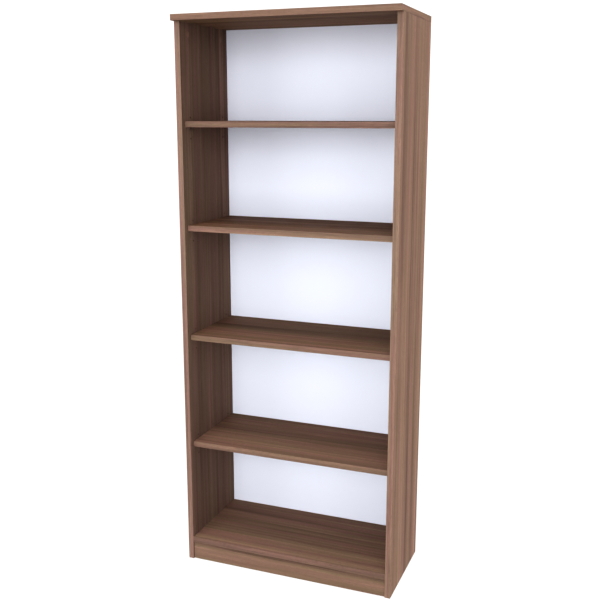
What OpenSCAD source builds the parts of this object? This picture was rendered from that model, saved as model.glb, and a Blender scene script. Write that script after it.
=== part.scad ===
// Bookcase with adjustable shelves, flat-pack construction, in millimetres.
// +Z is up, the open front faces -Y and +X is to the right of a person facing it.
// The origin is on the floor, midway between the sides and midway between the front of the top panel and the
// rear of the sides. Shelves are counted from the top down.

/* [Carcass] */
// Width over both side panels
overall_w = 700; // [600:10:900]
// Height from the floor to the upper face of the top panel
overall_h = 1750; // [1740:5:1800]
// Depth of a side panel, its front edging included
side_depth = 318; // [280:2:360]
// How far the top panel reaches out in front of the sides
top_overhang = 22; // [0:1:40]
// Thickness of every board
board_t = 18; // [16:1:20]
// Thickness of the edging glued on the visible board edges
edging_t = 1; // [0.8:0.1:2]
// Radius of the rounded corners along each edging
edging_r = 0.7; // [0.3:0.1:0.7]

/* [Base] */
// Height of the plinth, which the base shelf lies on
plinth_h = 61; // [55:1:100]
// How far the plinth stands behind the front edges of the sides
plinth_recess = 5; // [1:1:40]

/* [Back] */
// Thickness of the back panel
back_t = 3; // [2.5:0.5:3]
// Depth of the rebate that holds the back panel, which also sinks the nail heads
rebate_depth = 4; // [4:0.5:5]
// Width of the rebate in the side panels and the top panel
rebate_w = 9; // [7:1:9]
// Gap left around the back panel inside its rebate
back_gap = 0.5; // [0.2:0.1:1]

/* [Shelves] */
// Height of the upper face of shelf 1
shelf_1_top = 1442; // [1380:1:1500]
// Height of the upper face of shelf 2
shelf_2_top = 1124; // [1060:1:1180]
// Height of the upper face of shelf 3
shelf_3_top = 773; // [710:1:830]
// Height of the upper face of shelf 4
shelf_4_top = 412; // [350:1:470]
// How far the shelves stand behind the front edges of the sides
shelf_setback = 17; // [2:1:30]
// Gap between a shelf and each side panel
shelf_end_gap = 1; // [0.5:0.5:2]
// Gap between a shelf and the back panel
shelf_rear_gap = 2; // [1:0.5:4]

/* [Shelf pins] */
// Diameter of the holes in the side panels
pin_hole_d = 5; // [4:0.5:7]
// Depth of the holes in the side panels
pin_hole_depth = 10; // [8:1:12]
// Height from one row of holes to the next
row_pitch = 32; // [20:1:40]
// Distance of the holes from the front and the rear of the shelf
pin_inset = 37; // [30:1:60]
// Diameter of the pin's head, which carries the shelf
pin_head_d = 7; // [6:0.5:9]
// Length of the pin's head
pin_head_l = 7; // [6:1:12]

/* [Joint fittings] */
// Distance of the cams and cam bolts from the front and the rear of the sides
fitting_inset = 50; // [40:1:70]
// Distance from a cam bolt to the wooden dowel next to it
dowel_pitch = 32; // [25:1:64]

/* [Hidden] */
$fn = 48;

walnut = [0.56, 0.45, 0.37];
walnut_edge = [0.63, 0.49, 0.43];
back_white = [0.93, 0.93, 0.98];
brown_plastic = [0.24, 0.17, 0.13];
zinc = [0.66, 0.66, 0.65];
steel = [0.74, 0.74, 0.76];
beech = [0.80, 0.66, 0.48];

// Planes of the carcass
cut = 0.5;
half_w = overall_w / 2;
inner_x = half_w - board_t;
front_y = -(side_depth + top_overhang) / 2;
rear_y = -front_y;
side_front_y = front_y + top_overhang;
top_under_z = overall_h - board_t;
base_top_z = plinth_h + board_t;
back_front_y = rear_y - rebate_depth;
rebate_x = inner_x + rebate_w;
plinth_front_y = side_front_y + plinth_recess;

// Shelves and their pins
shelf_tops = [shelf_1_top, shelf_2_top, shelf_3_top, shelf_4_top];
shelf_front_y = side_front_y + shelf_setback;
shelf_rear_y = back_front_y - shelf_rear_gap;
shelf_half_w = inner_x - shelf_end_gap;
pin_ys = [shelf_front_y + pin_inset, shelf_rear_y - pin_inset];
pin_clearance = 0.05;
pin_hole_spare = 1;
pin_shank_l = pin_hole_depth - pin_hole_spare;
pin_flat_cut = 0.5;
pin_flat = pin_head_d / 2 - pin_flat_cut;

// Cam fittings: a 15 mm cam holds the head of a bolt that is screwed into the next board
cam_d = 15;
cam_bore_depth = 12.5;
cam_sink = 0.3;
cam_clearance = 0.1;
cam_to_joint = 34;
cam_cavity_top = 5.6;
cam_cavity_d = 8;
cam_slot_w = 4.4;
cam_recess_d = 3;
cam_recess_depth = 3;
cam_cross_l = 7;
cam_cross_w = 1.2;
bolt_shaft_d = 6.8;
bolt_neck_d = 3.8;
bolt_head_d = 6.4;
bolt_head_l = 2.5;
bolt_bore_d = 8;
bolt_collar_d = 7.6;
bolt_collar_l = 2.5;
bolt_thread_d = 4.9;
bolt_thread_hole_d = 5;
bolt_thread_l = 10.5;
bolt_hole_spare = 0.5;
cap_d = 18;
cap_t = 0.5;
cap_stem_d = 2.8;
fitting_ys = [side_front_y + fitting_inset, rear_y - fitting_inset];
dowel_ys = [fitting_ys[0] + dowel_pitch, fitting_ys[1] - dowel_pitch];

// Wooden dowels: the deep end sits in a board's edge and the shallow end in the next board's face
dowel_d = 8;
dowel_clearance = 0.05;
dowel_deep = 20;
dowel_shallow = 10;
dowel_hole_spare = 1;
plinth_bolt_z = 0.62 * plinth_h;
plinth_dowel_z = 0.26 * plinth_h;
plinth_mid_y = plinth_front_y + board_t / 2;
plinth_dowel_reach = 0.66 * inner_x;
plinth_dowel_xs = [-plinth_dowel_reach, 0, plinth_dowel_reach];

// Nails around the back panel
nail_l = 20;
nail_d = 1.4;
nail_head_d = 4.4;
nail_head_t = 0.8;
nail_inset = rebate_w / 2;
side_nail_count = 11;
cross_nail_count = 5;
nail_corner_gap = 20;
side_nail_span = top_under_z - base_top_z - 2 * nail_corner_gap;
cross_nail_span = 2 * (inner_x - nail_corner_gap);
nail_zs = [for (i = [0:side_nail_count - 1])
    base_top_z + nail_corner_gap + i / (side_nail_count - 1) * side_nail_span];
nail_xs = [for (i = [0:cross_nail_count - 1])
    (i / (cross_nail_count - 1) - 0.5) * cross_nail_span];

// Steel bracket on top at the rear
bracket_t = 2;
bracket_w = 44;
bracket_leg = 30;
bracket_rise = 26;
bracket_corner_r = 5;
bracket_screw_x = 12;
bracket_screw_inset = 18;
bracket_screw_hole_d = 4.5;
wall_hole_d = 5.5;
wall_hole_rise = 15;
screw_d = 4;
screw_l = 14;
screw_head_d = 7.6;
screw_head_top_d = 4.6;
screw_head_t = 2.2;
screw_tip_d = 0.5;
screw_tip_l = 4;
screw_cross_l = 3.4;
screw_cross_w = 0.8;
screw_cross_depth = 1.4;

// Box between two corners
module block(low, high) {
    translate(low) cube(high - low);
}

// Edging strip along +Z: it starts at the origin, is as wide as a board is thick along +X, and has its two
// outer corners, on the -Y side, rounded
module edging_strip(length) {
    linear_extrude(length) intersection() {
        translate([0, -edging_t]) square([board_t, edging_t]);
        union() {
            translate([0, -edging_t + edging_r]) square([board_t, edging_t]);
            translate([edging_r, -edging_t]) square([board_t - 2 * edging_r, edging_t]);
            for (x = [edging_r, board_t - edging_r])
                translate([x, -edging_t + edging_r]) circle(edging_r);
        }
    }
}

// Edging on the front of a lying board whose lower front corners are at x = -half and x = half
module front_edging(half, board_front_y, under_z) {
    color(walnut_edge)
        translate([half, board_front_y, under_z]) rotate([0, -90, 0]) edging_strip(2 * half);
}

// The same shape on the right and, mirrored, on the left
module both_sides() {
    children();
    mirror([1, 0, 0]) children();
}

// Cylinder along +X that starts at x = start
module rod_x(start, length, d) {
    translate([start, 0, 0]) rotate([0, 90, 0]) cylinder(d = d, h = length);
}

// Cross recess for a screwdriver, its floor at z = 0
module cross(length, width, depth) {
    for (turn = [0, 90])
        rotate([0, 0, turn]) block([-length / 2, -width / 2, 0], [length / 2, width / 2, depth]);
}

// Places that the fittings share. Each turns a child so that the mouth of its cam bore faces +Z before it is
// placed, and its bolt runs along +X.
module at_top_joints() {
    for (y = fitting_ys)
        both_sides()
            translate([inner_x, y, top_under_z - cam_to_joint]) rotate([0, -90, 0]) children();
}

module at_base_joints() {
    for (y = fitting_ys)
        both_sides()
            translate([inner_x - cam_to_joint, y, plinth_h]) rotate([180, 0, 0]) children();
}

module at_plinth_joints() {
    both_sides()
        translate([inner_x - cam_to_joint, plinth_front_y + board_t, plinth_bolt_z]) rotate([-90, 0, 0])
            children();
}

// Places of the dowels: +X points from the board's edge into the next board's face, from the joint plane
module at_top_dowels() {
    for (y = dowel_ys)
        both_sides()
            translate([half_w - board_t / 2, y, top_under_z]) rotate([0, -90, 0]) children();
}

module at_base_dowels() {
    for (y = dowel_ys)
        both_sides()
            translate([inner_x, y, plinth_h + board_t / 2]) children();
}

module at_plinth_end_dowels() {
    both_sides() translate([inner_x, plinth_mid_y, plinth_dowel_z]) children();
}

module at_plinth_top_dowels() {
    for (x = plinth_dowel_xs)
        translate([x, plinth_mid_y, plinth_h]) rotate([0, -90, 0]) children();
}

// Bore for a cam, the bore for its bolt in the board's edge, and the bolt's hole in the next board
module cam_bores() {
    translate([0, 0, -cam_bore_depth]) cylinder(d = cam_d, h = cam_bore_depth + cut);
    translate([0, 0, -board_t / 2]) rod_x(0, cam_to_joint + cut, bolt_bore_d);
}

module bolt_thread_hole() {
    translate([0, 0, -board_t / 2])
        rod_x(cam_to_joint - cut, bolt_thread_l + bolt_hole_spare + cut, bolt_thread_hole_d);
}

// Holes for a dowel: the deep one in the board's edge and the shallow one in the next board's face
module dowel_deep_hole() {
    rod_x(-dowel_deep - dowel_hole_spare, dowel_deep + dowel_hole_spare + cut, dowel_d);
}

module dowel_shallow_hole() {
    rod_x(-cut, dowel_shallow + dowel_hole_spare + cut, dowel_d);
}

// Cam: a disc with a hollow for the bolt's head, a slot for its neck and a cross recess in its face
module cam() {
    color(zinc) difference() {
        translate([0, 0, -cam_bore_depth + cam_clearance])
            cylinder(d = cam_d - 2 * cam_clearance, h = cam_bore_depth - cam_clearance - cam_sink);
        translate([0, 0, -cam_bore_depth]) cylinder(d = cam_cavity_d, h = cam_bore_depth - cam_cavity_top);
        block([0, -cam_slot_w / 2, -cam_bore_depth], [cam_d, cam_slot_w / 2, -cam_cavity_top]);
        translate([0, 0, -cam_recess_depth - cam_sink]) {
            cylinder(d = cam_recess_d, h = cam_recess_depth + cut);
            cross(cam_cross_l, cam_cross_w, cam_recess_depth + cut);
        }
    }
}

// Cam bolt: head in the cam, neck, shaft with a collar at the joint, and the thread
module cam_bolt() {
    neck_end = cam_d / 2 + 1;
    collar_start = cam_to_joint - bolt_collar_l;
    color(steel) translate([0, 0, -board_t / 2]) {
        rod_x(-bolt_head_l / 2, bolt_head_l, bolt_head_d);
        rod_x(0, neck_end, bolt_neck_d);
        rod_x(neck_end, collar_start - neck_end, bolt_shaft_d);
        rod_x(collar_start, bolt_collar_l, bolt_collar_d);
        rod_x(cam_to_joint, bolt_thread_l, bolt_thread_d);
    }
}

// Cap that covers a cam: a thin disc in the colour of the board, with a stem that plugs into the cam's recess
module cam_cap() {
    color(walnut) {
        cylinder(d = cap_d, h = cap_t);
        translate([0, 0, -cam_recess_depth]) cylinder(d = cap_stem_d, h = cam_recess_depth);
    }
}

module dowel() {
    color(beech) rod_x(-dowel_deep, dowel_deep + dowel_shallow, dowel_d - 2 * dowel_clearance);
}

// Holes for the shelf pins in the right side panel: a row in use and a spare row above and below it
module pin_holes() {
    for (top = shelf_tops, step = [-1, 0, 1], y = pin_ys)
        translate([0, y, top - board_t - pin_flat + step * row_pitch])
            rod_x(inner_x - cut, pin_hole_depth + cut, pin_hole_d);
}

// Right side panel. The left one is its mirror image.
module side_panel() {
    difference() {
        block([inner_x, side_front_y + edging_t, 0], [half_w, rear_y, top_under_z]);
        block([inner_x - cut, back_front_y, -cut], [rebate_x, rear_y + cut, top_under_z + cut]);
        pin_holes();
        at_top_joints() cam_bores();
        at_top_dowels() dowel_deep_hole();
        at_base_joints() bolt_thread_hole();
        at_base_dowels() dowel_shallow_hole();
        at_plinth_joints() bolt_thread_hole();
        at_plinth_end_dowels() dowel_shallow_hole();
    }
}

module side_edging() {
    translate([inner_x, side_front_y + edging_t, 0]) edging_strip(top_under_z);
}

module left_side_panel() {
    color(walnut) mirror([1, 0, 0]) side_panel();
}

module right_side_panel() {
    color(walnut) side_panel();
}

module left_side_edging() {
    color(walnut_edge) mirror([1, 0, 0]) side_edging();
}

module right_side_edging() {
    color(walnut_edge) side_edging();
}

module top_panel() {
    color(walnut) difference() {
        block([-half_w + edging_t, front_y + edging_t, top_under_z], [half_w - edging_t, rear_y, overall_h]);
        block([-rebate_x, back_front_y, top_under_z - cut], [rebate_x, rear_y + cut, top_under_z + rebate_w]);
        at_top_joints() bolt_thread_hole();
        at_top_dowels() dowel_shallow_hole();
    }
}

module top_front_edging() {
    front_edging(half_w, front_y + edging_t, top_under_z);
}

module top_end_edgings() {
    color(walnut_edge) both_sides()
        translate([half_w - edging_t, front_y + edging_t, overall_h])
            rotate([0, 90, 0]) rotate([-90, 0, 0]) edging_strip(rear_y - front_y - edging_t);
}

module base_shelf() {
    color(walnut) difference() {
        block([-inner_x, side_front_y + edging_t, plinth_h], [inner_x, back_front_y, base_top_z]);
        at_base_joints() cam_bores();
        at_base_dowels() dowel_deep_hole();
        at_plinth_top_dowels() dowel_shallow_hole();
    }
}

module base_shelf_edging() {
    front_edging(inner_x, side_front_y + edging_t, plinth_h);
}

module plinth() {
    color(walnut) difference() {
        block([-inner_x, plinth_front_y, 0], [inner_x, plinth_front_y + board_t, plinth_h]);
        at_plinth_joints() cam_bores();
        at_plinth_end_dowels() dowel_deep_hole();
        at_plinth_top_dowels() dowel_deep_hole();
    }
}

module back_panel() {
    color(back_white)
        block([-rebate_x + back_gap, back_front_y, plinth_h + back_gap],
              [rebate_x - back_gap, back_front_y + back_t, top_under_z + rebate_w - back_gap]);
}

// Loose shelf number 0 to 3, from the top down
module shelf(number) {
    top = shelf_tops[number];
    color(walnut)
        block([-shelf_half_w, shelf_front_y + edging_t, top - board_t], [shelf_half_w, shelf_rear_y, top]);
}

module shelf_edging(number) {
    front_edging(shelf_half_w, shelf_front_y + edging_t, shelf_tops[number] - board_t);
}

// Shelf pin: a round shank in the side panel and a head with a flat that the shelf lies on. side is 1 for the
// right and 0 for the left; row is 0 for the front and 1 for the rear.
module shelf_pin(number, side, row) {
    axis_z = shelf_tops[number] - board_t - pin_flat;
    color(brown_plastic) mirror([1 - side, 0, 0]) translate([inner_x, pin_ys[row], axis_z]) {
        rod_x(-cut, pin_shank_l + cut, pin_hole_d - 2 * pin_clearance);
        difference() {
            rod_x(-pin_head_l, pin_head_l, pin_head_d);
            block([-pin_head_l - cut, -pin_head_d, pin_flat], [cut, pin_head_d, pin_head_d]);
        }
    }
}

module top_cams() {
    at_top_joints() cam();
}

module base_cams() {
    at_base_joints() cam();
}

module plinth_cams() {
    at_plinth_joints() cam();
}

module top_cam_bolts() {
    at_top_joints() cam_bolt();
}

module base_cam_bolts() {
    at_base_joints() cam_bolt();
}

module plinth_cam_bolts() {
    at_plinth_joints() cam_bolt();
}

module cam_caps() {
    at_top_joints() cam_cap();
}

module top_dowels() {
    at_top_dowels() dowel();
}

module base_dowels() {
    at_base_dowels() dowel();
}

module plinth_end_dowels() {
    at_plinth_end_dowels() dowel();
}

module plinth_top_dowels() {
    at_plinth_top_dowels() dowel();
}

// Nail driven forward through the back panel, its head on the panel's rear face
module nail(x, z) {
    translate([x, back_front_y + back_t, z]) rotate([90, 0, 0]) {
        cylinder(d = nail_d, h = nail_l);
        translate([0, 0, -nail_head_t]) cylinder(d = nail_head_d, h = nail_head_t);
    }
}

module back_nails() {
    color(steel) {
        for (z = nail_zs, side = [-1, 1])
            nail(side * (inner_x + nail_inset), z);
        for (x = nail_xs, z = [plinth_h + board_t / 2, top_under_z + nail_inset])
            nail(x, z);
    }
}

// Upright plate in the XZ plane with its two upper corners rounded, thickness along +Y
module round_topped_plate(w, h, r, t) {
    rotate([90, 0, 0]) translate([0, 0, -t]) linear_extrude(t) {
        translate([-w / 2, 0]) square([w, h - r]);
        translate([-w / 2 + r, 0]) square([w - 2 * r, h]);
        for (x = [-w / 2 + r, w / 2 - r])
            translate([x, h - r]) circle(r);
    }
}

module wall_bracket() {
    color(steel) difference() {
        union() {
            translate([0, rear_y - bracket_t, overall_h])
                round_topped_plate(bracket_w, bracket_rise, bracket_corner_r, bracket_t);
            translate([0, rear_y, overall_h]) rotate([90, 0, 0])
                round_topped_plate(bracket_w, bracket_leg, bracket_corner_r, bracket_t);
        }
        for (x = [-bracket_screw_x, bracket_screw_x])
            translate([x, rear_y - bracket_screw_inset, overall_h - cut])
                cylinder(d = bracket_screw_hole_d, h = bracket_t + 2 * cut);
        translate([0, rear_y + cut, overall_h + wall_hole_rise]) rotate([90, 0, 0])
            cylinder(d = wall_hole_d, h = bracket_t + 2 * cut);
    }
}

// Wood screw with a domed head and a cross recess
module bracket_screw() {
    difference() {
        union() {
            cylinder(d1 = screw_head_d, d2 = screw_head_top_d, h = screw_head_t);
            translate([0, 0, -screw_l]) cylinder(d1 = screw_tip_d, d2 = screw_d, h = screw_tip_l);
            translate([0, 0, screw_tip_l - screw_l]) cylinder(d = screw_d, h = screw_l - screw_tip_l);
        }
        translate([0, 0, screw_head_t - screw_cross_depth])
            cross(screw_cross_l, screw_cross_w, screw_cross_depth + cut);
    }
}

module bracket_screws() {
    color(steel) for (x = [-bracket_screw_x, bracket_screw_x])
        translate([x, rear_y - bracket_screw_inset, overall_h + bracket_t]) bracket_screw();
}

left_side_panel();
right_side_panel();
top_panel();
base_shelf();
plinth();
back_panel();
shelf(0);  // shelf_1
shelf(1);  // shelf_2
shelf(2);  // shelf_3
shelf(3);  // shelf_4
left_side_edging();
right_side_edging();
top_front_edging();
top_end_edgings();
base_shelf_edging();
shelf_edging(0);  // shelf_1_edging
shelf_edging(1);  // shelf_2_edging
shelf_edging(2);  // shelf_3_edging
shelf_edging(3);  // shelf_4_edging
shelf_pin(0, 0, 0);  // shelf_1_pin_left_front
shelf_pin(0, 0, 1);  // shelf_1_pin_left_rear
shelf_pin(0, 1, 0);  // shelf_1_pin_right_front
shelf_pin(0, 1, 1);  // shelf_1_pin_right_rear
shelf_pin(1, 0, 0);  // shelf_2_pin_left_front
shelf_pin(1, 0, 1);  // shelf_2_pin_left_rear
shelf_pin(1, 1, 0);  // shelf_2_pin_right_front
shelf_pin(1, 1, 1);  // shelf_2_pin_right_rear
shelf_pin(2, 0, 0);  // shelf_3_pin_left_front
shelf_pin(2, 0, 1);  // shelf_3_pin_left_rear
shelf_pin(2, 1, 0);  // shelf_3_pin_right_front
shelf_pin(2, 1, 1);  // shelf_3_pin_right_rear
shelf_pin(3, 0, 0);  // shelf_4_pin_left_front
shelf_pin(3, 0, 1);  // shelf_4_pin_left_rear
shelf_pin(3, 1, 0);  // shelf_4_pin_right_front
shelf_pin(3, 1, 1);  // shelf_4_pin_right_rear
top_cams();
base_cams();
plinth_cams();
top_cam_bolts();
base_cam_bolts();
plinth_cam_bolts();
cam_caps();
top_dowels();
base_dowels();
plinth_end_dowels();
plinth_top_dowels();
back_nails();
wall_bracket();
bracket_screws();
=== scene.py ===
"""Bookcase with adjustable shelves: looks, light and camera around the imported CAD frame.

Metres, +Z up, the open front faces -Y. The CAD nodes keep their shapes. This script gives them materials
with grain, pores, roughness and wear, softens their edges, and sets up the floor, the light and the camera.
"""

import math

import bpy
from mathutils import Euler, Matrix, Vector


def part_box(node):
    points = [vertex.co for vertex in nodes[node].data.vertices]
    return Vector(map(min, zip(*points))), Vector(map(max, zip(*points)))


X, Y, Z = 0, 1, 2

# Wood print: the shares of the broad bands, the streaks and the fibres in the tone of boards and of edgings
BOARD_GRAIN = (0.48, 0.41, 0.11)
EDGING_GRAIN = (0.20, 0.50, 0.30)

# Wood print: the scale of each layer's noise along the grain and across it
SWAY_SCALE = (1.6, 5.0)
RIPPLE_SCALE = (7.0, 40.0)
BAND_SCALE = (0.45, 26.0)
STREAK_SCALE = (1.0, 105.0)
FIBRE_SCALE = (12.0, 800.0)
PORE_SCALE = (70.0, 2300.0)
HUE_SCALE = (1.3, 60.0)

# Wood print: how far the grain lines sway and ripple, and the tones of its darkest and its lightest shade
SWAY_REACH = 0.022
RIPPLE_REACH = 0.0022
GRAIN_TONES = (0.365, 0.635)

# Most values of a noise lie in this span, and each seed moves a pattern by this step
NOISE_SPAN = (0.3, 0.7)
SEED_STEP = (1.7, 2.3, 3.1)

# Skins of the boards and of the back, in metres
PAPER_SKIN = 0.0004
LACQUER_SKIN = 0.0003

# Wear along a board's long edges: how far it reaches in metres, and how much of the print it takes at most
WORN_MARGIN = 0.0018
WEAR_SHARE = 0.35

# Under the skin, a wall this near the outline is a cut edge, and one that lies this deep is a drilled
# hole's, whose chipboard is painted dark as shade
CUT_EDGE_DEPTH = 0.006
DRILLED_DEPTH = 0.012

# Relief of each surface in metres
BOARD_BUMP = 0.00005
EDGING_BUMP = 0.00003
HARDBOARD_BUMP = 0.00008
MOULDED_BUMP = 0.00003
METAL_BUMP = 0.00003

# Roughness, and where it varies, from the smoothest spots to the dullest
BOARD_ROUGHNESS = (0.62, 0.75)
EDGING_ROUGHNESS = (0.46, 0.58)
BACK_ROUGHNESS = (0.48, 0.60)
PLASTIC_ROUGHNESS = (0.38, 0.52)
CAP_ROUGHNESS = 0.55
BEECH_ROUGHNESS = 0.7
ZINC_ROUGHNESS = 0.45
STEEL_ROUGHNESS = 0.32

# Softened edges of the boards and their edgings
ROUNDING = 0.00015
WELD_REACH = 0.00001
SHARP_ANGLE = math.radians(40)

# Colours are linear. A palette runs from its dark tones to its light ones.
WALNUT = (0.214, 0.138, 0.101)
WALNUT_EDGE = (0.223, 0.148, 0.115)
WALNUT_SHADES = (0.56, 0.88, 1.07, 1.40)
PINKISH = (1.052, 0.970, 1.013)
OLIVE = (0.970, 1.018, 0.936)
PORE_SHADE = (0.50, 0.46, 0.44)
RUBBED_EDGE = (0.400, 0.300, 0.235)
CHIP_TONES = (
    (0.200, 0.130, 0.075),
    (0.330, 0.235, 0.145),
    (0.430, 0.325, 0.210),
    (0.540, 0.425, 0.295),
)
# Painted shade: the dark colour of the walls deep inside drilled holes, standing in for the shadow in them
PAINTED_HOLE_SHADE = (0.060, 0.036, 0.022)
BEECH_TONES = (
    (0.420, 0.280, 0.160),
    (0.520, 0.360, 0.210),
    (0.590, 0.430, 0.270),
    (0.650, 0.490, 0.330),
)
LACQUER_WHITE = (0.810, 0.850, 0.960)
HARDBOARD_TONES = (
    (0.105, 0.062, 0.035),
    (0.136, 0.083, 0.047),
    (0.160, 0.100, 0.058),
    (0.210, 0.136, 0.082),
)
HARDBOARD_CLOUD = (0.860, 0.850, 0.840)
PLASTIC_BROWN = (0.075, 0.045, 0.031)
ZINC_GREY = (0.420, 0.420, 0.410)
STEEL_GREY = (0.430, 0.435, 0.450)
FLOOR_PALE = (0.150, 0.150, 0.150)

# Camera: its place, its turn to the left and downwards, and its sensor and lens in millimetres
CAMERA_PLACE = (0.979, -2.5025, 1.462)
CAMERA_TURN = math.radians(21.5)
CAMERA_TILT = math.radians(-12.09)
CAMERA_SENSOR = 36.0
CAMERA_LENS = 51.96

# Light: an even dome and far soft lights, each given as degrees to the right of the front, degrees up, its
# width in degrees and its strength, and one soft box near the front
DOME_STRENGTH = 0.50
BACKDROP_STRENGTH = 0.82
FLOOR_GLOW = 0.62
FAR_LIGHTS = {
    "front": (3, 7, 26, 0.66),
    "front_left": (-38, -3, 26, 0.62),
    "front_right": (46, 8, 34, 0.50),
    "high_front": (12, 22, 25, 0.31),
    "top_front": (0, 60, 25, 0.36),
    "top": (0, 74, 24, 0.80),
    "rear_right": (112, 10, 30, 1.78),
    "rear_left": (-115, 10, 30, 1.2),
}
FRONT_BOX_PLACE = (0.20, -1.90, 0.98)
FRONT_BOX_SIZE = 0.9
FRONT_BOX_POWER = 7.4
LIGHT_DISTANCE = 5.0
LIGHT_AIM = (0.0, 0.0, 0.9)
FLOOR_REACH = 30.0

# Boards: the axis their grain runs along, the axis across their thickness, their shade as red, green and
# blue, which is partly the print's own variation and partly painted light and shade that makes each board
# lighter or darker as its seen face is lit, and which part of the printed sheet they are cut from
BOARDS = {
    "left_side_panel": (Z, X, (0.93, 0.97, 1.04), 1.0),
    "right_side_panel": (Z, X, (1.05, 1.08, 1.13), 2.0),
    "top_panel": (X, Z, (1.12, 1.08, 1.00), 3.0),
    "base_shelf": (X, Z, (1.05, 1.06, 1.08), 4.0),
    "plinth": (X, Y, (0.94, 1.01, 1.01), 5.0),
    "shelf_1": (X, Z, (1.00, 1.00, 1.00), 6.0),
    "shelf_2": (X, Z, (0.87, 0.80, 0.72), 7.0),
    "shelf_3": (X, Z, (0.86, 0.84, 0.79), 8.0),
    "shelf_4": (X, Z, (0.98, 0.97, 0.96), 9.0),
}

# Edge strips: the axis their grain runs along and their shade, which is partly the print's own variation and
# partly painted light and shade that makes each strip lighter or darker as it is lit
SHELF_EDGING = (X, (0.89, 0.88, 0.86))
EDGINGS = {
    "left_side_edging": (Z, (1.02, 1.02, 1.05)),
    "right_side_edging": (Z, (1.08, 1.08, 1.08)),
    "top_front_edging": (X, (0.88, 0.91, 0.83)),
    "top_end_edgings": (Y, (0.90, 0.81, 0.72)),
    "base_shelf_edging": (X, (0.73, 0.73, 0.72)),
    "shelf_1_edging": SHELF_EDGING,
    "shelf_2_edging": SHELF_EDGING,
    "shelf_3_edging": SHELF_EDGING,
    "shelf_4_edging": SHELF_EDGING,
}

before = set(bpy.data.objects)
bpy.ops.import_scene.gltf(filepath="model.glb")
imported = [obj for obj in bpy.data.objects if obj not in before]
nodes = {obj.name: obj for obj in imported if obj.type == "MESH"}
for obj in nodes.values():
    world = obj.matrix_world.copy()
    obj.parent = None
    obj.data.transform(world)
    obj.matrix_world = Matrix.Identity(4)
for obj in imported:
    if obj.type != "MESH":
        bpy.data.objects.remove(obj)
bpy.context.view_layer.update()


# ---------------------------------------------------------------- shader building

class Shader:
    """One material and short calls that add nodes to it.

    A value is a number, a colour or another node's output.
    """

    def __init__(self, name):
        self.material = bpy.data.materials.new(name)
        self.material.use_nodes = True
        self.tree = self.material.node_tree
        self.surface = self.tree.nodes["Principled BSDF"]
        self.place = self.add("ShaderNodeTexCoord").outputs["Object"]

    def add(self, kind, **settings):
        node = self.tree.nodes.new(kind)
        for key, value in settings.items():
            setattr(node, key, value)
        return node

    def put(self, socket, value):
        if isinstance(value, bpy.types.NodeSocket):
            self.tree.links.new(value, socket)
        else:
            socket.default_value = value

    def math(self, operation, first, second=0.0):
        node = self.add("ShaderNodeMath", operation=operation)
        self.put(node.inputs[0], first)
        self.put(node.inputs[1], second)
        return node.outputs[0]

    def remap(self, value, low, high, to_low=0.0, to_high=1.0):
        node = self.add("ShaderNodeMapRange", interpolation_type="SMOOTHSTEP")
        for socket, number in zip(node.inputs, (value, low, high, to_low, to_high)):
            self.put(socket, number)
        return node.outputs[0]

    def axis(self, vector, index):
        node = self.add("ShaderNodeSeparateXYZ")
        self.put(node.inputs[0], vector)
        return node.outputs[index]

    def stretched(self, vector, scales, seed=0.0):
        """The vector scaled along each axis, and moved to another part of the pattern for each seed."""
        node = self.add("ShaderNodeMapping")
        self.put(node.inputs["Vector"], vector)
        node.inputs["Scale"].default_value = scales
        node.inputs["Location"].default_value = tuple(step * seed for step in SEED_STEP)
        return node.outputs[0]

    def shifted(self, vector, noise_colour, reach):
        """The vector moved by up to half the reach along each axis, following a coloured noise."""
        node = self.add("ShaderNodeVectorMath", operation="MULTIPLY_ADD")
        centred = self.add("ShaderNodeVectorMath", operation="SUBTRACT")
        self.put(centred.inputs[0], noise_colour)
        centred.inputs[1].default_value = (0.5, 0.5, 0.5)
        self.put(node.inputs[0], centred.outputs[0])
        node.inputs[1].default_value = reach
        self.put(node.inputs[2], vector)
        return node.outputs[0]

    def noise(self, vector, scale=1.0, detail=2.0, roughness=0.5, output="Fac"):
        node = self.add("ShaderNodeTexNoise")
        self.put(node.inputs["Vector"], vector)
        node.inputs["Scale"].default_value = scale
        node.inputs["Detail"].default_value = detail
        node.inputs["Roughness"].default_value = roughness
        return node.outputs[output]

    def cells(self, vector, scale, randomness=1.0):
        node = self.add("ShaderNodeTexVoronoi")
        self.put(node.inputs["Vector"], vector)
        node.inputs["Scale"].default_value = scale
        node.inputs["Randomness"].default_value = randomness
        return node

    def ramp(self, value, colours, low=0.0, high=1.0):
        node = self.add("ShaderNodeValToRGB")
        stops = node.color_ramp.elements
        while len(stops) < len(colours):
            stops.new(0.5)
        for number, colour in enumerate(colours):
            stops[number].position = low + (high - low) * number / (len(colours) - 1)
            stops[number].color = (*colour, 1.0)
        self.put(node.inputs[0], value)
        return node.outputs[0]

    def blend(self, amount, first, second, mode="MIX"):
        node = self.add("ShaderNodeMix", data_type="RGBA", blend_type=mode)
        self.put(node.inputs["Factor"], amount)
        for socket, colour in ((node.inputs[6], first), (node.inputs[7], second)):
            self.put(socket, (*colour, 1.0) if isinstance(colour, tuple) else colour)
        return node.outputs[2]

    def bump(self, height, depth):
        node = self.add("ShaderNodeBump")
        node.inputs["Distance"].default_value = depth
        self.put(node.inputs["Height"], height)
        self.put(self.surface.inputs["Normal"], node.outputs[0])

    def finish(self, colour, roughness, specular=0.5, metallic=0.0):
        self.put(self.surface.inputs["Base Color"], (*colour, 1.0) if isinstance(colour, tuple) else colour)
        self.put(self.surface.inputs["Roughness"], roughness)
        self.surface.inputs["Specular IOR Level"].default_value = specular
        self.surface.inputs["Metallic"].default_value = metallic
        return self.material


def by_axis(grain, along, across):
    """One value for the grain axis and another for the two axes across it."""
    return tuple(along if index == grain else across for index in (X, Y, Z))


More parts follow.
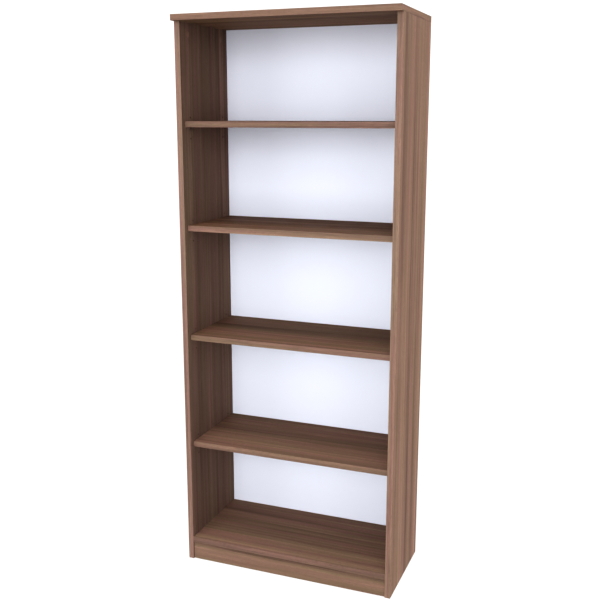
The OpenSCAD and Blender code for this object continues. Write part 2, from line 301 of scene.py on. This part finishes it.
def shaded(colour, shade):
    """A colour times a shade, which is one number, or one each for red, green and blue."""
    shades = shade if isinstance(shade, tuple) else (shade,) * 3
    return tuple(value * factor for value, factor in zip(colour, shades))


def outline_distance(shader, low, high, axes):
    """Distance from the nearest of a board's long edges."""
    nearest = None
    for index in axes:
        middle = (low[index] + high[index]) / 2
        half = (high[index] - low[index]) / 2
        offset = shader.math("SUBTRACT", shader.axis(shader.place, index), middle)
        inside = shader.math("SUBTRACT", half, shader.math("ABSOLUTE", offset))
        nearest = inside if nearest is None else shader.math("MINIMUM", nearest, inside)
    return nearest


# ---------------------------------------------------------------- materials

def wood_print(shader, grain, base, seed, shares=BOARD_GRAIN):
    """Printed walnut grain along one axis: its colour, and a height for the bump."""
    def stretch(vector, scale):
        return shader.stretched(vector, by_axis(grain, *scale), seed)

    sway = shader.noise(stretch(shader.place, SWAY_SCALE), detail=2.0, output="Color")
    ripple = shader.noise(stretch(shader.place, RIPPLE_SCALE), detail=1.0, output="Color")
    place = shader.shifted(shader.place, sway, by_axis(grain, 0.0, SWAY_REACH))
    place = shader.shifted(place, ripple, by_axis(grain, 0.0, RIPPLE_REACH))
    bands = shader.noise(stretch(place, BAND_SCALE), detail=3.0, roughness=0.55)
    streaks = shader.noise(stretch(place, STREAK_SCALE), detail=4.0, roughness=0.65)
    fibres = shader.noise(stretch(place, FIBRE_SCALE), detail=2.0)
    pores = shader.noise(stretch(place, PORE_SCALE), detail=1.0)
    tone = 0.0
    for layer, share in zip((bands, streaks, fibres), shares):
        tone = shader.math("ADD", tone, shader.math("MULTIPLY", layer, share))
    colour = shader.ramp(tone, [shaded(base, shade) for shade in WALNUT_SHADES], *GRAIN_TONES)
    hue = shader.noise(shader.stretched(place, by_axis(grain, *HUE_SCALE), seed + 5.0), detail=2.0)
    tint = shader.blend(shader.remap(hue, 0.38, 0.62), PINKISH, OLIVE)
    colour = shader.blend(1.0, colour, tint, "MULTIPLY")
    crowding = shader.remap(streaks, 0.35, 0.65, 0.70, 0.62)
    pore_mask = shader.remap(pores, shader.math("SUBTRACT", crowding, 0.06), crowding)
    colour = shader.blend(shader.math("MULTIPLY", pore_mask, 0.5), colour, PORE_SHADE, "MULTIPLY")
    height = shader.math("SUBTRACT", shader.math("MULTIPLY", fibres, 0.4), pore_mask)
    return colour, height


def chipboard(shader):
    """Raw cut edge of chipboard: packed chips of different tones."""
    chips = shader.cells(shader.place, 620.0)
    fine = shader.noise(shader.place, 900.0, detail=3.0)
    tone = shader.math("ADD", shader.math("MULTIPLY", shader.axis(chips.outputs["Color"], X), 0.65),
                       shader.math("MULTIPLY", fine, 0.35))
    return shader.ramp(tone, CHIP_TONES, 0.15, 0.85)


def board_material(node, grain, thickness, shade, seed):
    """Melamine board: printed faces, raw chipboard on the cut edges, painted shade on the walls of drilled
    holes.
    """
    low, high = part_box(node)
    shader = Shader(node + "_melamine")
    colour, height = wood_print(shader, grain, shaded(WALNUT, shade), seed)
    middle = (low[thickness] + high[thickness]) / 2
    skin = (high[thickness] - low[thickness]) / 2 - PAPER_SKIN
    depth = shader.math("ABSOLUTE", shader.math("SUBTRACT", shader.axis(shader.place, thickness), middle))
    printed = shader.math("GREATER_THAN", depth, skin)
    to_outline = outline_distance(shader, low, high, [axis for axis in (X, Y, Z) if axis != thickness])
    rubbed = shader.noise(shader.place, 60.0, detail=4.0)
    margin = shader.remap(to_outline, 0.0, WORN_MARGIN, 1.0, 0.0)
    wear = shader.math("MULTIPLY", margin, shader.remap(rubbed, 0.45, 0.65))
    colour = shader.blend(shader.math("MULTIPLY", wear, WEAR_SHARE), colour, RUBBED_EDGE)
    # Painted shade: walls deeper than a cut edge belong to drilled holes and fade to the dark hole colour
    drilled = shader.remap(to_outline, CUT_EDGE_DEPTH, DRILLED_DEPTH)
    core = shader.blend(drilled, chipboard(shader), PAINTED_HOLE_SHADE)
    colour = shader.blend(printed, core, colour)
    smudges = shader.noise(shader.place, 7.0, detail=3.0)
    shader.bump(height, BOARD_BUMP)
    return shader.finish(colour, shader.remap(smudges, *NOISE_SPAN, *BOARD_ROUGHNESS), specular=0.05)


def edging_material(node, grain, shade):
    """Plastic edging with the same kind of print, a little smoother than the boards."""
    shader = Shader(node + "_print")
    colour, height = wood_print(shader, grain, shaded(WALNUT_EDGE, shade), seed=4.0, shares=EDGING_GRAIN)
    smudges = shader.noise(shader.place, 9.0, detail=3.0)
    shader.bump(height, EDGING_BUMP)
    return shader.finish(colour, shader.remap(smudges, *NOISE_SPAN, *EDGING_ROUGHNESS), specular=0.2)


def cap_material():
    """Cam caps printed like the side panels they sit on."""
    shader = Shader("cap_print")
    colour, height = wood_print(shader, Z, WALNUT, seed=1.0)
    shader.bump(height, BOARD_BUMP)
    return shader.finish(colour, CAP_ROUGHNESS, specular=0.2)


def back_material():
    """Hardboard: white lacquer on the front, brown pressed fibre on the rear and the edges."""
    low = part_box("back_panel")[0]
    shader = Shader("back_lacquer")
    front = shader.math("LESS_THAN", shader.axis(shader.place, Y), low.y + LACQUER_SKIN)
    clouds = shader.noise(shader.place, 3.0, detail=3.0)
    peel = shader.noise(shader.place, 380.0, detail=2.0)
    clouding = shader.remap(clouds, *NOISE_SPAN, 0.0, 0.35)
    white = shader.blend(clouding, LACQUER_WHITE, shaded(LACQUER_WHITE, 0.97))
    fibre_place = shader.stretched(shader.place, (520.0, 520.0, 260.0))
    fibre_tone = shader.noise(fibre_place, detail=4.0, roughness=0.6)
    fibre = shader.ramp(fibre_tone, HARDBOARD_TONES, *NOISE_SPAN)
    soaked = shader.noise(shader.place, 9.0, detail=4.0, roughness=0.6)
    fibre = shader.blend(shader.remap(soaked, 0.35, 0.65), fibre, HARDBOARD_CLOUD, "MULTIPLY")
    mesh = shader.cells(shader.place, 900.0, randomness=0.15)
    rear_height = shader.math("ADD", mesh.outputs["Distance"], fibre_tone)
    height = shader.add("ShaderNodeMix", data_type="FLOAT")
    shader.put(height.inputs["Factor"], front)
    shader.put(height.inputs[2], rear_height)
    shader.put(height.inputs[3], shader.math("MULTIPLY", peel, 0.3))
    shader.bump(height.outputs[0], HARDBOARD_BUMP)
    rough = shader.remap(clouds, *NOISE_SPAN, *BACK_ROUGHNESS)
    return shader.finish(shader.blend(front, fibre, white), rough, specular=0.3)


def plastic_material(name, colour):
    """Moulded plastic with a fine matt grain."""
    shader = Shader(name)
    speck = shader.noise(shader.place, 1400.0, detail=2.0)
    cloud = shader.noise(shader.place, 70.0, detail=2.0)
    rough = shader.remap(speck, *NOISE_SPAN, *PLASTIC_ROUGHNESS)
    shader.bump(speck, MOULDED_BUMP)
    return shader.finish(shader.blend(cloud, colour, shaded(colour, 1.25)), rough)


def metal_material(name, colour, roughness):
    """Plated or die-cast metal with faint blotches and fine scratches."""
    shader = Shader(name)
    blotch = shader.noise(shader.place, 140.0, detail=4.0)
    scratch = shader.noise(shader.stretched(shader.place, (260.0, 2600.0, 900.0)), detail=2.0)
    plated = shader.blend(shader.remap(blotch, 0.35, 0.65), shaded(colour, 0.72), colour)
    rough = shader.remap(blotch, *NOISE_SPAN, roughness - 0.07, roughness + 0.10)
    shader.bump(shader.math("ADD", blotch, scratch), METAL_BUMP)
    return shader.finish(plated, rough, metallic=1.0)


def beech_material():
    """Plain turned beech."""
    shader = Shader("beech")
    flecks = shader.noise(shader.stretched(shader.place, (120.0, 900.0, 900.0)), detail=3.0)
    shader.bump(flecks, BOARD_BUMP)
    return shader.finish(shader.ramp(flecks, BEECH_TONES, *NOISE_SPAN), BEECH_ROUGHNESS, specular=0.3)


def dress(node, material):
    """Gives every face of a CAD node one material."""
    slots = nodes[node].data.materials
    slots.clear()
    slots.append(material)


def soften(node):
    """Rounds a node's sharp edges by a hair, so that they catch the light."""
    weld = nodes[node].modifiers.new("weld", "WELD")
    weld.merge_threshold = WELD_REACH
    bevel = nodes[node].modifiers.new("soft_edges", "BEVEL")
    bevel.width = ROUNDING
    bevel.segments = 2
    bevel.limit_method = "ANGLE"
    bevel.angle_limit = SHARP_ANGLE
    bevel.harden_normals = True


def nodes_called(word):
    """The nodes whose names hold this word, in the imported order."""
    return [name for name in nodes if word in name]


def dress_all():
    for node, (grain, thickness, shade, seed) in BOARDS.items():
        dress(node, board_material(node, grain, thickness, shade, seed))
    for node, (grain, shade) in EDGINGS.items():
        dress(node, edging_material(node, grain, shade))
    dress("back_panel", back_material())
    pin_plastic = plastic_material("pin_plastic", PLASTIC_BROWN)
    for node in nodes_called("_pin_"):
        dress(node, pin_plastic)
    dress("cam_caps", cap_material())
    zinc = metal_material("zinc", ZINC_GREY, ZINC_ROUGHNESS)
    for node in ("top_cams", "base_cams", "plinth_cams"):
        dress(node, zinc)
    steel = metal_material("steel", STEEL_GREY, STEEL_ROUGHNESS)
    for node in (*nodes_called("bolts"), "back_nails", "bracket_screws", "wall_bracket"):
        dress(node, steel)
    beech = beech_material()
    for node in nodes_called("dowels"):
        dress(node, beech)


# ---------------------------------------------------------------- studio

def make_floor():
    """Plain pale floor that neither tints nor lights the object."""
    mesh = bpy.data.meshes.new("floor")
    corners = [(x * FLOOR_REACH, y * FLOOR_REACH, 0.0) for x, y in ((-1, -1), (1, -1), (1, 1), (-1, 1))]
    mesh.from_pydata(corners, [], [(0, 1, 2, 3)])
    floor = bpy.data.objects.new("floor", mesh)
    bpy.context.scene.collection.objects.link(floor)
    shader = Shader("floor_pale")
    shader.surface.inputs["Emission Color"].default_value = (1.0, 1.0, 1.0, 1.0)
    shader.surface.inputs["Emission Strength"].default_value = FLOOR_GLOW
    mesh.materials.append(shader.finish(FLOOR_PALE, 0.9, specular=0.0))
    floor.visible_diffuse = False
    floor.visible_glossy = False


def make_world():
    """Even white dome: the camera sees a white backdrop, and the object gets a softer share of it."""
    world = bpy.data.worlds.new("studio")
    world.use_nodes = True
    tree = world.node_tree
    dome = tree.nodes["Background"]
    dome.inputs["Color"].default_value = (1.0, 1.0, 1.0, 1.0)
    dome.inputs["Strength"].default_value = DOME_STRENGTH
    backdrop = tree.nodes.new("ShaderNodeBackground")
    backdrop.inputs["Color"].default_value = (1.0, 1.0, 1.0, 1.0)
    backdrop.inputs["Strength"].default_value = BACKDROP_STRENGTH
    path = tree.nodes.new("ShaderNodeLightPath")
    mix = tree.nodes.new("ShaderNodeMixShader")
    tree.links.new(path.outputs["Is Camera Ray"], mix.inputs[0])
    tree.links.new(dome.outputs[0], mix.inputs[1])
    tree.links.new(backdrop.outputs[0], mix.inputs[2])
    tree.links.new(mix.outputs[0], tree.nodes["World Output"].inputs[0])
    bpy.context.scene.world = world


def add_light(name, light, place, aim):
    """Adds a light that shines from one point towards another."""
    holder = bpy.data.objects.new(name, light)
    holder.location = place
    holder.rotation_euler = (aim - place).to_track_quat("-Z", "Y").to_euler()
    bpy.context.scene.collection.objects.link(holder)


def make_lights():
    aim = Vector(LIGHT_AIM)
    for name, (right, up, width, strength) in FAR_LIGHTS.items():
        turn = Euler((math.radians(-up), 0.0, math.radians(right)))
        towards = Vector((0.0, -1.0, 0.0))
        towards.rotate(turn)
        light = bpy.data.lights.new(name, "SUN")
        light.angle = math.radians(width)
        light.energy = strength
        add_light(name, light, aim + LIGHT_DISTANCE * towards, aim)
    box = bpy.data.lights.new("front_box", "AREA")
    box.size = FRONT_BOX_SIZE
    box.energy = FRONT_BOX_POWER
    add_light("front_box", box, Vector(FRONT_BOX_PLACE), aim)


def make_camera():
    camera = bpy.data.cameras.new("camera")
    camera.sensor_width = CAMERA_SENSOR
    camera.lens = CAMERA_LENS
    holder = bpy.data.objects.new("camera", camera)
    holder.location = CAMERA_PLACE
    holder.rotation_euler = Euler((math.radians(90) + CAMERA_TILT, 0.0, CAMERA_TURN))
    bpy.context.scene.collection.objects.link(holder)
    bpy.context.scene.camera = holder


def set_tone_mapping():
    view = bpy.context.scene.view_settings
    view.view_transform = "Standard"
    view.look = "High Contrast"
    view.exposure = 0.0
    view.gamma = 1.0


dress_all()
for node in (*BOARDS, *EDGINGS):
    soften(node)
make_floor()
make_world()
make_lights()
make_camera()
set_tone_mapping()
